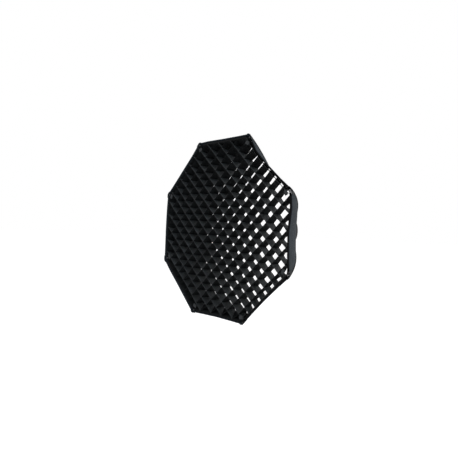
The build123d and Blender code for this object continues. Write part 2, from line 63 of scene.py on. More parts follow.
RIM_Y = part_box("shell_1_a")[0].y
RIM_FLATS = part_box("shell_8_b")[1].x
RIM_CORNER = RIM_FLATS / cos(HALF)
FLOOR_Z = -0.95

CAMERA_TURN = radians(45.97)
CAMERA_RISE = radians(0.66)
CAMERA_ROLL = radians(2.12)
CAMERA_DISTANCE = 4.431 * RIM_CORNER
CAMERA_ASIDE = -0.101 * RIM_CORNER
CAMERA_LENS = 33.62


def aim_camera():
    """Stand off from the middle of the rim along a turned and raised line, step aside across it,
    and roll the frame about the line of sight."""
    back = Vector((
        sin(CAMERA_TURN) * cos(CAMERA_RISE),
        -cos(CAMERA_TURN) * cos(CAMERA_RISE),
        sin(CAMERA_RISE),
    ))
    right = (-back).cross(Vector((0, 0, 1))).normalized()
    up = right.cross(-back)
    level_right = right * cos(CAMERA_ROLL) + up * sin(CAMERA_ROLL)
    level_up = up * cos(CAMERA_ROLL) - right * sin(CAMERA_ROLL)
    place = Vector((0, RIM_Y, 0)) + back * CAMERA_DISTANCE - level_right * CAMERA_ASIDE
    turn = Matrix((level_right, level_up, back)).transposed().to_4x4()
    data = bpy.data.cameras.new("camera")
    data.lens = CAMERA_LENS
    data.sensor_width = 36
    data.clip_start = 0.05
    data.clip_end = 60
    camera = bpy.data.objects.new("camera", data)
    camera.matrix_world = Matrix.Translation(place) @ turn
    bpy.context.scene.collection.objects.link(camera)
    bpy.context.scene.camera = camera


aim_camera()


def soft_light(name, place, target, size, watts):
    """A square soft light that looks from its place at a target."""
    data = bpy.data.lights.new(name, "AREA")
    data.shape = "SQUARE"
    data.size = size
    data.energy = watts
    light = bpy.data.objects.new(name, data)
    light.location = place
    light.rotation_euler = (Vector(target) - Vector(place)).to_track_quat("-Z", "Y").to_euler()
    bpy.context.scene.collection.objects.link(light)


soft_light("key_light", (2.2, -1.6, 2.6), (0, -0.3, 0), 1.8, 70)
soft_light("fill_light", (-2.4, -2.6, 1.2), (0, -0.4, 0), 2.2, 26)
soft_light("side_light", (2.6, 1.4, 0.8), (0.2, -0.2, 0), 1.6, 40)

world = bpy.data.worlds.new("studio")
bpy.context.scene.world = world
world.use_nodes = True
world.node_tree.nodes["Background"].inputs["Color"].default_value = (1, 1, 1, 1)
world.node_tree.nodes["Background"].inputs["Strength"].default_value = 1.0
bpy.context.scene.view_settings.view_transform = "Standard"


def lay_floor():
    """A flat square, wide enough to pass out of every view."""
    edge = 30.0
    mesh = bpy.data.meshes.new("floor")
    corners = [(-edge, -edge), (edge, -edge), (edge, edge), (-edge, edge)]
    mesh.from_pydata([(x, y, FLOOR_Z) for x, y in corners], [], [(0, 1, 2, 3)])
    floor = bpy.data.objects.new("floor", mesh)
    bpy.context.scene.collection.objects.link(floor)
    material = bpy.data.materials.new("pale_floor")
    material.use_nodes = True
    shader = material.node_tree.nodes["Principled BSDF"]
    shader.inputs["Base Color"].default_value = (0.93, 0.93, 0.93, 1)
    shader.inputs["Roughness"].default_value = 0.9
    shader.inputs["Specular IOR Level"].default_value = 0.1
    shader.inputs["Emission Color"].default_value = (1, 1, 1, 1)
    shader.inputs["Emission Strength"].default_value = 0.15
    mesh.materials.append(material)


lay_floor()

# ---------------------------------------------------------------------------
# Shell: eight gores of coated nylon, black outside and silver inside, sewn edge
# to edge along the ribs and drawn over them when the box opens. Each gore is
# made here as two halves, which crease apart along its middle when it folds.
# ---------------------------------------------------------------------------
RIB_BOW = 1.337
RIB_LEAN = radians(27.7)
BOW_X = RIM_CORNER - RIB_BOW * cos(RIB_LEAN)
BOW_Y = RIM_Y - RIB_BOW * sin(RIB_LEAN)
SHELL_BACK_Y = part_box("shell_1_a")[1].y
SHELL_CLOTH = 0.0009
GORE_SAG = (0.003, 0.014, 0.003, 0.003, 0.003, 0.003, 0.003, 0.007)
GORE_ROWS = 25
GORE_COLUMNS = 90
RIM_CROWDING = 1.15         # the columns stand closer together towards the rim
RIPPLE = 0.0006
RIPPLE_RATE = 70
SEAM_GAP = 0.0003
LINING_SHADE_COLUMNS = 12                 # columns of the lining next to the rim drawn in the black outside cloth: painted shade for the deep gap between grid border and shell
HEM_DEPTH = 0.016
HEM_SWELL = 0.0011

# The rods are springs, so the open rim isn't quite even: how far the cloth stands outside (+) or
# inside (-) the even octagon, in millimetres, at five stations along each side, +X side first
RIM_DRIFT = np.array([
    [4, -2, -5.5, 5, -1],
    [-2.5, -11, -18, -19, 0],
    [6, 4.5, 3.5, 4.5, 1.5],
    [-2.5, -5.5, -4.5, -4, -2.5],
    [-2.5, 3.5, 7, 8, 9],
    [12, 13, 9, 8, 7],
    [2, -1, -4, -3.5, -2.5],
    [-2.5, -3.5, -3.5, 1, 7],
])
DRIFT_STATIONS = np.radians([-21.5, -13.3, 0, 13.3, 21.5])
DRIFT_DEPTH = 0.41
DRIFT_REACH = 0.09


def rib_radius(y):
    """Distance from the box axis of the bowed rib line: a circle about (BOW_X, BOW_Y)."""
    return BOW_X + np.sqrt(RIB_BOW ** 2 - (y - BOW_Y) ** 2)


def turned(local, angle):
    """Points given as (outward, along Y, sideways), set round the box axis at an angle that runs
    from +X to +Z: a turn of outward and sideways by that angle."""
    out, along, side = local[..., 0], local[..., 1], local[..., 2]
    return np.stack(
        [out * cos(angle) - side * sin(angle), along, out * sin(angle) + side * cos(angle)], -1
    )


def lay(points):
    """Set cloth on the uneven rim: each point moves along its radius by the drift at its azimuth,
    times the square of its nearness to the rim from behind and to the shell from inside."""
    x, y, z = points[..., 0], points[..., 1], points[..., 2]
    radius = np.hypot(x, z)
    azimuth = np.arctan2(z, x)
    stations = (2 * HALF * np.arange(SIDES)[:, None] + DRIFT_STATIONS).ravel()
    drift = np.interp(azimuth, stations, RIM_DRIFT.ravel() / 1000, period=2 * pi)
    folded = (azimuth + HALF) % (2 * HALF) - HALF
    skin = rib_radius(np.maximum(y, RIM_Y)) * cos(HALF) / np.cos(folded)
    forward = np.clip((RIM_Y + DRIFT_DEPTH - y) / DRIFT_DEPTH, 0, 1)
    near = np.clip(1 - (skin - radius) / DRIFT_REACH, 0, 1)
    moved = 1 + drift * forward ** 2 * near ** 2 / np.maximum(radius, 1e-6)
    return np.stack([x * moved, y, z * moved], -1)


def shell_piece(name, front, back, uv, loop=False, shade_columns=0):
    """A closed thin piece between two grids of points, front and back, with its four edges filled.
    A looped piece closes on itself along the first parameter. The back takes the second material,
    but for its last columns, as many as the last argument gives, which take the first material as painted shade."""
    rows, columns = front.shape[:2]
    count = rows * columns
    points = np.concatenate([front.reshape(-1, 3), back.reshape(-1, 3)])
    spans = rows if loop else rows - 1
    i, j = np.meshgrid(np.arange(spans), np.arange(columns - 1), indexing="ij")
    i, j = i.ravel(), j.ravel()
    near, far = i * columns, (i + 1) % rows * columns
    skin = np.stack([near + j, far + j, far + j + 1, near + j + 1], -1)
    faces = [skin, skin[:, ::-1] + count]
    run = np.arange(spans)
    for column in (0, columns - 1):
        low, high = run * columns + column, (run + 1) % rows * columns + column
        faces.append(np.stack([low, high, high + count, low + count], -1))
    if not loop:
        run = np.arange(columns - 1)
        for row in (0, rows - 1):
            low = row * columns + run
            faces.append(np.stack([low, low + 1, low + 1 + count, low + count], -1))
    slots = np.concatenate([np.full(len(f), 1 if n == 1 else 0) for n, f in enumerate(faces)])
    # the back's last columns next to the rim take the black outside cloth, not the lining: painted shade
    slots[len(skin):2 * len(skin)][j >= columns - 1 - shade_columns] = 0
    faces = np.concatenate(faces)
    mesh = bpy.data.meshes.new(name)
    mesh.from_pydata(points.tolist(), [], faces.tolist())
    mesh.polygons.foreach_set("material_index", slots.astype(np.int32))
    flat_uv = np.concatenate([uv.reshape(-1, 2)] * 2)
    corner = np.empty(len(mesh.loops), np.int32)
    mesh.loops.foreach_get("vertex_index", corner)
    layer = mesh.uv_layers.new(name="cloth")
    layer.data.foreach_set("uv", flat_uv[corner].astype(np.float32).ravel())
    work = bmesh.new()
    work.from_mesh(mesh)
    bmesh.ops.recalc_face_normals(work, faces=work.faces)
    work.to_mesh(mesh)
    work.free()
    mesh.shade_smooth()
    mesh.set_sharp_from_angle(angle=radians(50))
    piece = bpy.data.objects.new(name, mesh)
    bpy.context.scene.collection.objects.link(piece)
    return piece


def grid_normals(points):
    """Unit normals of a grid of points, from the cross product of its two directions."""
    across = np.gradient(points, axis=0)
    along = np.gradient(points, axis=1)
    normal = np.cross(across, along)
    return normal / np.maximum(np.linalg.norm(normal, axis=-1, keepdims=True), 1e-12)


def new_group(name, inputs, outputs):
    """An empty shader node group with float or colour sockets, and its in and out nodes."""
    group = bpy.data.node_groups.new(name, "ShaderNodeTree")
    for label, kind, value in inputs:
        socket = group.interface.new_socket(label, in_out="INPUT", socket_type=kind)
        if value is not None:
            socket.default_value = value
    for label, kind in outputs:
        group.interface.new_socket(label, in_out="OUTPUT", socket_type=kind)
    return group, group.nodes.new("NodeGroupInput"), group.nodes.new("NodeGroupOutput")


def math_node(tree, operation, first, second=None):
    """A Math node whose inputs are sockets or plain numbers."""
    node = tree.nodes.new("ShaderNodeMath")
    node.operation = operation
    for index, value in enumerate((first, second)):
        if value is None:
            continue
        if hasattr(value, "is_output"):
            tree.links.new(value, node.inputs[index])
        else:
            node.inputs[index].default_value = value
    return node.outputs[0]


def make_weave():
    """Plain weave: the product of a sine across the warp and a sine across the weft, raised where
    one thread passes over the other. Slow noise gives the slight unevenness of the cloth."""
    group, start, end = new_group(
        "woven_cloth",
        [
            ("Vector", "NodeSocketVector", None),
            ("Threads", "NodeSocketFloat", 900.0),
            ("Unevenness", "NodeSocketFloat", 14.0),
        ],
        [("Height", "NodeSocketFloat"), ("Shade", "NodeSocketFloat")],
    )
    split = group.nodes.new("ShaderNodeSeparateXYZ")
    group.links.new(start.outputs["Vector"], split.inputs[0])
    rate = math_node(group, "MULTIPLY", start.outputs["Threads"], 2 * pi)
    warp = math_node(group, "SINE", math_node(group, "MULTIPLY", split.outputs[0], rate))
    weft = math_node(group, "SINE", math_node(group, "MULTIPLY", split.outputs[1], rate))
    height = math_node(group, "MULTIPLY", warp, weft)
    slow = group.nodes.new("ShaderNodeTexNoise")
    slow.inputs["Detail"].default_value = 3.0
    group.links.new(start.outputs["Vector"], slow.inputs["Vector"])
    group.links.new(start.outputs["Unevenness"], slow.inputs["Scale"])
    group.links.new(math_node(group, "ADD", height, slow.outputs[0]), end.inputs["Height"])
    group.links.new(slow.outputs[0], end.inputs["Shade"])
    return group


weave = make_weave()


def cloth_material(name, dark, light, rough, gloss, threads, uneven, bump, sheen, coords="UV"):
    """Woven cloth: colour between two shades by slow noise, weave and creases in the bump."""
    material = bpy.data.materials.new(name)
    material.use_nodes = True
    tree = material.node_tree
    shader = tree.nodes["Principled BSDF"]
    place = tree.nodes.new("ShaderNodeTexCoord")
    group = tree.nodes.new("ShaderNodeGroup")
    group.node_tree = weave
    group.inputs["Threads"].default_value = threads
    group.inputs["Unevenness"].default_value = uneven
    tree.links.new(place.outputs[coords], group.inputs["Vector"])
    ramp = tree.nodes.new("ShaderNodeValToRGB")
    ramp.color_ramp.elements[0].position = 0.3
    ramp.color_ramp.elements[0].color = (*dark, 1)
    ramp.color_ramp.elements[1].position = 0.7
    ramp.color_ramp.elements[1].color = (*light, 1)
    tree.links.new(group.outputs["Shade"], ramp.inputs[0])
    tree.links.new(ramp.outputs[0], shader.inputs["Base Color"])
    relief = tree.nodes.new("ShaderNodeBump")
    relief.inputs["Strength"].default_value = bump
    relief.inputs["Distance"].default_value = 0.0004
    tree.links.new(group.outputs["Height"], relief.inputs["Height"])
    tree.links.new(relief.outputs[0], shader.inputs["Normal"])
    shader.inputs["Roughness"].default_value = rough
    shader.inputs["Specular IOR Level"].default_value = gloss
    shader.inputs["Sheen Weight"].default_value = sheen
    shader.inputs["Sheen Roughness"].default_value = 0.5
    return material


shell_black = cloth_material(
    "shell_black", (0.005, 0.008, 0.011), (0.010, 0.0145, 0.0195), 0.75, 0.1, 1100, 9, 0.35, 0.0
)
shell_silver = cloth_material(
    "shell_silver", (0.42, 0.42, 0.43), (0.6, 0.6, 0.61), 0.35, 0.5, 1100, 25, 0.5, 0.0
)
shell_silver.node_tree.nodes["Principled BSDF"].inputs["Metallic"].default_value = 0.55


def half_gore(number, side):
    """Half of a gore. The cloth is flat across and follows the rib line lengthwise; it sags inwards
    by a sine along its length times a parabola across, and its front hem is a swelling of the wall.
    The whole half gore is then laid on the uneven rim."""
    middle = 2 * HALF * number
    across = np.linspace(1, 0, GORE_ROWS)[:, None]
    step = np.linspace(0, 1, GORE_COLUMNS)[None, :]
    along = 1 - (1 - step) ** RIM_CROWDING
    y = SHELL_BACK_Y + (RIM_Y - SHELL_BACK_Y) * along
    flats = rib_radius(y) * cos(HALF)
    width = flats * tan(HALF) - SEAM_GAP
    sideways = side * width * across
    sag = GORE_SAG[number % SIDES] * np.sin(pi * along) * (1 - across ** 2)
    ripple = np.sin(along * RIPPLE_RATE + 3 * number) * np.sin(pi * along)
    ripple = RIPPLE * ripple * across ** 3
    local = np.stack(np.broadcast_arrays(flats - sag - ripple, y, sideways), -1)
    outer = lay(turned(local, middle))
    normal = grid_normals(outer)
    outward = np.sign(np.sum(normal * np.array([1.0, 0, 1.0]) * outer, -1))
    normal = normal * outward[..., None]
    length = np.abs(y - RIM_Y)
    hem = HEM_SWELL * np.clip(1.6 * np.sin(pi * np.clip(length / HEM_DEPTH, 0, 1)), 0, 1)
    hem = np.broadcast_to(hem, across.shape[:1] + hem.shape[1:])[..., None]
    spread = np.cumsum(np.linalg.norm(np.diff(local, axis=1, prepend=local[:, :1]), axis=-1), 1)
    uv = np.stack([local[..., 2], spread], -1)
    letter = "b" if side > 0 else "a"
    cad = f"shell_{number}_{letter}"
    inner = outer - SHELL_CLOTH * normal
    piece = shell_piece(f"gore_{number}_{letter}", outer + hem * normal, inner, uv, shade_columns=LINING_SHADE_COLUMNS)
    piece.data.materials.append(shell_black)
    piece.data.materials.append(shell_silver)
    return piece, cad


# When the ribs close, each half gore turns outwards beside its rib, within TURN_REACH of it, and
# its crease comes to rest CREASE_GAP short of the gore's middle, all the way from rim to hub
TURN_REACH = 0.040
CREASE_GAP = 0.0021
STATIONS = np.linspace(RIM_Y, SHELL_BACK_Y, 12)
joints = {joint["name"]: joint for joint in frame["joints"]}
couplings = {row["joint"]: row for row in frame["record"]["behaviour"]["couplings"]}


def spun(points, axis, angle):
    """Points p turned by t about an axis a: p cos t + (a x p) sin t + a (a . p)(1 - cos t)."""
    beside = np.cross(axis, points)
    onto = axis * np.sum(points * axis, -1, keepdims=True)
    return points * np.cos(angle) + beside * np.sin(angle) + onto * (1 - np.cos(angle))


def turn_shares():
    """The share of its full turn that a half gore takes at each station. The crease is turned about
    its rib by even shares of the turn, then carried in by the closing rib, and the share that
    leaves it CREASE_GAP from the gore's middle is read off between them."""
    closing, folding = joints["rib_1_fold"], joints["gore_1_a_fold"]
    hinge = np.array(closing["pos_m"])
    closed = radians(closing["range_deg"][1])
    folded = couplings["gore_1_a_fold"]["ratio"] * closed
    crease = np.stack([rib_radius(STATIONS) * cos(HALF), STATIONS, 0 * STATIONS], -1)
    crease = turned(crease, 2 * HALF)[:, None, :] - hinge
    shares = np.linspace(0, 1, 201)
    crease = spun(crease, np.array(folding["axis"]), folded * shares[None, :, None])
    crease = spun(crease, np.array(closing["axis"]), closed) + hinge
    short = -crease @ turned(np.array([0, 0, 1.0]), 2 * HALF)
    return np.array([np.interp(CREASE_GAP, row, shares) for row in short])


TURN_SHARE = turn_shares()


def crease_blend(piece, toward):
    """Works out how far each point of a half gore would turn between its rib and its fold, and leaves
    the half gore unbent. Share of the turn = a smooth step of the distance from the rib's plane over
    TURN_REACH, times the share at that station; the shares are set into the points' X, baked through
    the object's transform, and the points are then set back as they were."""
    count = len(piece.data.vertices)
    final = np.zeros(count * 3)
    piece.data.vertices.foreach_get("co", final)
    points = final.reshape(-1, 3)
    off = np.clip((points @ toward) / TURN_REACH, 0, 1)
    share = off * off * (3 - 2 * off) * np.interp(points[:, 1], STATIONS, TURN_SHARE)
    place = np.zeros((count, 3))
    place[:, 0] = 0.5 - np.sin(np.arcsin(1 - 2 * share) / 3)
    piece.data.vertices.foreach_set("co", place.ravel())
    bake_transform(piece)
    piece.data.vertices.foreach_set("co", final)
    piece.data.update()


for number in range(1, SIDES + 1):
    for side in (-1, 1):
        piece, cad = half_gore(number, side)
        rib = number if side < 0 else number % SIDES + 1
        rib_angle = HALF + 2 * HALF * (rib - 1)
        inward = np.array([0.0, 0.0, -side])
        toward = turned(inward, rib_angle)
        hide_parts(cad)
        crease_blend(piece, toward)

# ---------------------------------------------------------------------------
# Seam binding: black woven tape folded over each seam between two gores and
# sewn through, from the cuff to the rim. It covers the rod's channel.
# ---------------------------------------------------------------------------
BINDING_HALF = 0.0046
BINDING_RISE = 0.0024
BINDING_TAIL = 0.004        # how far short of the shell's back edge it starts
PUCKER = 0.06
STITCHES = 80

binding_black = cloth_material(
    "binding_black", (0.002, 0.002, 0.003), (0.005, 0.005, 0.006), 0.85, 0.12, 700, 40, 0.8, 0.0
)


def seam_binding(number):
    """A flat half-oval section carried along the rib line, with small puckers at the stitches."""
    around = np.linspace(0, pi, 9)[:, None]
    along = np.linspace(0, 1, 170)[None, :]
    y = SHELL_BACK_Y - BINDING_TAIL + (RIM_Y + 0.0005 - SHELL_BACK_Y + BINDING_TAIL) * along
    pucker = 1 + PUCKER * np.sin(2 * pi * along * STITCHES)
    side = BINDING_HALF * np.cos(around) * pucker
    rise = BINDING_RISE * np.sin(around) ** 0.6 * pucker + 0.0004
    under = -np.abs(side) * tan(HALF)
    outer = np.stack(np.broadcast_arrays(rib_radius(y) + under + rise, y, side), -1)
    inner = np.stack(np.broadcast_arrays(rib_radius(y) + under + 0.0002, y, side), -1)
    angle = HALF + 2 * HALF * (number - 1)
    uv = np.stack(np.broadcast_arrays(side, along * 0.56), -1)
    outer, inner = lay(turned(outer, angle)), lay(turned(inner, angle))
    piece = shell_piece(f"seam_binding_{number}", outer, inner, uv)
    piece.data.materials.append(binding_black)
    piece.data.materials.append(binding_black)
    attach(piece, f"rib_{number}")


for number in range(1, SIDES + 1):
    seam_binding(number)

# ---------------------------------------------------------------------------
# Corner pockets: a doubled patch of heavier cloth sewn over each rim corner,
# where the rod's cap pushes into it.
# ---------------------------------------------------------------------------
POCKET_HALF = 0.017
POCKET_LENGTH = 0.036
POCKET_RISE = 0.0016

pocket_black = cloth_material(
    "pocket_black", (0.004, 0.004, 0.005), (0.009, 0.010, 0.011), 0.8, 0.2, 500, 60, 0.9, 0.0
)


def corner_pocket(number):
    """A patch bent over the rib line, rounded over the ridge, narrowing to a rounded tail."""
    across = np.linspace(-1, 1, 21)[:, None]
    along = np.linspace(0, 1, 24)[None, :]
    y = RIM_Y - 0.0012 + POCKET_LENGTH * along
    width = POCKET_HALF * np.sqrt(np.clip(1 - 0.9 * np.clip((along - 0.6) / 0.4, 0, 1) ** 2, 0, 1))
    side = across * width
    round_off = 0.004
    drop = np.sqrt((side * tan(HALF)) ** 2 + round_off ** 2 * 0.2) - round_off * 0.45
    rise = POCKET_RISE * (1 - 0.5 * np.abs(across) ** 6)
    radius = rib_radius(np.maximum(y, RIM_Y)) - drop + rise
    outer = np.stack(np.broadcast_arrays(radius, y, side), -1)
    inner = outer - np.array([0.0016, 0, 0])
    angle = HALF + 2 * HALF * (number - 1)
    uv = np.stack(np.broadcast_arrays(side, along * POCKET_LENGTH), -1)
    outer, inner = lay(turned(outer, angle)), lay(turned(inner, angle))
    piece = shell_piece(f"corner_pocket_{number}", outer, inner, uv)
    piece.data.materials.append(pocket_black)
    piece.data.materials.append(pocket_black)
    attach(piece, f"rib_{number}")


for number in range(1, SIDES + 1):
    corner_pocket(number)

# ---------------------------------------------------------------------------
# Cuff: an elastic collar of ribbed cloth, gathered round the hub's rim, that
# closes the small gap between the hub and the shell's back edge.
# ---------------------------------------------------------------------------
CUFF_SNUG = 0.1064
CUFF_CLOTH = 0.0012
CUFF_RISE = 0.0018
CUFF_GATHERS = 56


def make_cuff():
    """A profile turned round the axis: a snug band, then a flare to the power 1.1 of the length,
    with gathers, a cosine of the angle, that grow outwards."""
    low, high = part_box("cuff")
    back_y, front_y = high.y, low.y
    snug = CUFF_SNUG + CUFF_RISE
    flare = high.x - 0.0008
    angle = np.linspace(0, 2 * pi, 448, endpoint=False)[:, None]
    along = np.linspace(0, 1, 26)[None, :]
    y = back_y + (front_y - back_y) * along
    open_out = np.clip((along - 0.3) / 0.7, 0, 1)
    radius = snug + (flare - snug) * open_out ** 1.1
    bands = 0.0007 * np.cos(2 * pi * along * 7) * (open_out < 0.02)
    gathers = 0.0011 * np.cos(CUFF_GATHERS * angle) * np.sqrt(open_out)
    wave = 0.0004 * np.sin(9 * angle + 1.3) * open_out
    r = radius + bands + gathers + wave
    outer = np.stack(np.broadcast_arrays(r * np.cos(angle), y, r * np.sin(angle)), -1)
    r = r - CUFF_CLOTH
    inner = np.stack(np.broadcast_arrays(r * np.cos(angle), y, r * np.sin(angle)), -1)
    uv = np.stack(np.broadcast_arrays(angle * 0.11, along * 0.055), -1)
    piece = shell_piece("cuff_cloth", outer, inner, uv, loop=True)
    black = cloth_material(
        "cuff_black", (0.008, 0.008, 0.009), (0.016, 0.016, 0.018), 0.85, 0.3, 600, 50, 0.9, 0.05
    )
    piece.data.materials.append(black)
    piece.data.materials.append(black)
    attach(piece, "hub")
    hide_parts("cuff")


make_cuff()

# ---------------------------------------------------------------------------
# Grid border: the frame of the cloth egg crate, a tapered band of stiffened
# black cloth that follows the inside of the shell, with a rolled front edge.
# ---------------------------------------------------------------------------
GRID_FRONT_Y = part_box("grid_border")[0].y
GRID_BACK_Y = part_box("grid_border")[1].y
GRID_FRONT_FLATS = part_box("grid_border")[1].x
GRID_TAPER = (float(rib_radius(GRID_FRONT_Y)) - float(rib_radius(GRID_BACK_Y))) * cos(HALF)
GRID_DEEP = GRID_BACK_Y - GRID_FRONT_Y
BORDER_CLOTH = 0.0016
EDGE_FOLD = 0.0003


def border_flats(y):
    """Distance of the border's face from the axis in the middle of a side: a straight taper."""
    return GRID_FRONT_FLATS - GRID_TAPER * (y - GRID_FRONT_Y) / GRID_DEEP


grid_black = cloth_material(
    "grid_black", (0.0008, 0.0012, 0.0015), (0.0026, 0.0037, 0.0044), 0.8, 0.09, 800, 22, 0.7, 0.0
)

def grid_border():
    """An eight-sided tapered band carried round the octagon, its corners rounded a little, with a
    rolled front edge."""
    per_side = 36
    angle = np.arange(SIDES * per_side) / (SIDES * per_side) * 2 * pi
    folded = (angle + HALF) % (2 * HALF) - HALF
    octagon = 1 / np.cos(folded)
    soft_corner = 1 - 0.006 * np.clip((np.abs(folded) - 0.34) / (HALF - 0.34), 0, 1) ** 2
    reach = (octagon * soft_corner)[:, None]
    depth = np.linspace(0, 1, 15)[None, :] ** 1.4
    y = GRID_FRONT_Y + (GRID_BACK_Y - GRID_FRONT_Y) * depth
    roll = EDGE_FOLD * np.clip(1 - np.abs(y - GRID_FRONT_Y - 0.003) / 0.003, 0, 1)
    faces = []
    for inset, sign in ((0.0, 1), (BORDER_CLOTH, -1)):
        r = (border_flats(y) - inset + sign * roll) * reach
        ring = np.stack(
            np.broadcast_arrays(r * np.cos(angle)[:, None], y, r * np.sin(angle)[:, None]), -1
        )
        faces.append(lay(ring))
    uv = np.stack(np.broadcast_arrays(angle[:, None] * 0.42, y), -1)
    piece = shell_piece("grid_border_band", faces[0], faces[1], uv, loop=True)
    piece.data.materials.append(grid_black)
    piece.data.materials.append(grid_black)
    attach(piece, "grid")
    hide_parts("grid_border")


grid_border()


# ---------------------------------------------------------------------------
# Hook tape: padded black hook tape sewn along the outside of the border on
# each of its sides. It holds the grid in the mouth of the shell.
# ---------------------------------------------------------------------------
TAPE_LENGTH = 0.29
TAPE_GAP = 0.0012

hook_black = cloth_material(
    "hook_black", (0.003, 0.003, 0.003), (0.008, 0.008, 0.009), 0.9, 0.15, 350, 120, 1.0, 0.0
)

def join_pieces(name, pieces):
    """Several meshes made into one object."""
    work = bmesh.new()
    for piece in pieces:
        work.from_mesh(piece.data)
        bpy.data.objects.remove(piece)
    mesh = bpy.data.meshes.new(name)
    work.to_mesh(mesh)
    work.free()
    joined = bpy.data.objects.new(name, mesh)
    bpy.context.scene.collection.objects.link(joined)
    return joined


def tape_run(name, y_front, y_back):
    """One padded length of tape along the outside of the border on each side. It fills the space
    between the border and the lining but for TAPE_GAP, and its edges are softened by a tenth power
    of the distance from its middle."""
    lengths = []
    for side in range(SIDES):
        across = np.linspace(-TAPE_LENGTH / 2, TAPE_LENGTH / 2, 40)[:, None]
        depth = np.linspace(0, 1, 8)[None, :]
        y = y_front + (y_back - y_front) * depth
        lining = rib_radius(y) * cos(HALF) - SHELL_CLOTH - TAPE_GAP
        edge = (lining - border_flats(y)) * (1 - 0.25 * np.abs(2 * depth - 1) ** 10)
        faces = []
        for rise in (edge + 0.0004, 0.0004 + 0 * depth):
            local = np.stack(np.broadcast_arrays(border_flats(y) + rise, y, across), -1)
            faces.append(lay(turned(local, 2 * HALF * side)))
        uv = np.stack(np.broadcast_arrays(across, depth * (y_back - y_front)), -1)
        lengths.append(shell_piece(f"{name}_{side}", faces[0], faces[1], uv))
    return join_pieces(name, lengths)


tape = tape_run("hook_tape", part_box("grid_hook_strips")[0].y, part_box("grid_hook_strips")[1].y)
tape.data.materials.append(hook_black)
tape.data.materials.append(hook_black)
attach(tape, "grid")
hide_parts("grid_hook_strips")


# ---------------------------------------------------------------------------
# Grid strips: bands of the same cloth, sixteen rising and sixteen falling, sewn
# to the border at their ends. The real ones are slit to half their depth where
# they cross; here the slits are left out, and the two sets pass through.
# ---------------------------------------------------------------------------
CELLS = 17
CELL = 2 * RIM_FLATS / CELLS
GRID_CLOTH = 0.0009
BACK_LEAN = 0.015
LEAN_REACH = 0.075
# how far each falling strip above the middle is drawn towards its long side, in millimetres
FALLING_DRIFT = [0, 0.3, 1.5, 3, 6, 8.5, 13.5, 29]
NEAREST = 0.0045             # a strip comes no nearer to the border it runs along
# the drift of each set of strips, front edge then back edge: a shift in millimetres, a share of
# the strip's own offset, and a turn away from 45 degrees
STRIP_DRIFT = {
    "rising_strips": ((7.5, 0.020, -0.033), (-0.5, 0.005, -0.018)),
    "falling_strips": ((-5.2, 0.003, 0.039), (-1.8, 0.0, 0.023)),
}


def lean_in(points):
    """Near the border the strips' back edges are drawn inwards with its taper: a radial shift that
    grows with depth, and with nearness to the border to the power 1.5."""
    x, y, z = points[..., 0], points[..., 1], points[..., 2]
    radius = np.hypot(x, z)
    folded = (np.arctan2(z, x) + HALF) % (2 * HALF) - HALF
    gap = border_flats(y) / np.cos(folded) - radius
    depth = np.clip((y - GRID_FRONT_Y) / (GRID_BACK_Y - GRID_FRONT_Y), 0, 1)
    near = np.clip(1 - gap / LEAN_REACH, 0, 1) * np.clip(gap / 0.012, 0, 1)
    moved = 1 - BACK_LEAN * depth * near ** 1.5 / np.maximum(radius, 1e-6)
    return np.stack([x * moved, y, z * moved], -1)


# A lighter copy of the black grid cloth for the falling strips: painted light for the light they catch; the real
# strips are all the same black cloth
grid_satin = cloth_material(
    "grid_satin", (0.0026, 0.0038, 0.0046), (0.013, 0.0175, 0.0205), 0.55, 0.28, 800, 22, 0.7, 0.0
)


def strip_ends(line, rise, flats):
    """Where a strip's line meets an octagon: its offset is line[0] + line[1] times the length, and
    the smallest length on each side at which the point touches a side of the octagon is kept."""
    low, high = -9.0, 9.0
    for side in range(SIDES):
        normal = np.array([cos(2 * HALF * side), sin(2 * HALF * side)])
        along = normal @ np.array([1, rise]) / sqrt(2)
        over = normal @ np.array([-rise, 1]) / sqrt(2)
        gain = along + line[1] * over
        limit = (flats - line[0] * over) / gain if abs(gain) > 1e-6 else 9.0
        if gain > 1e-6:
            high = min(high, limit)
        if gain < -1e-6:
            low = max(low, limit)
    return low, high


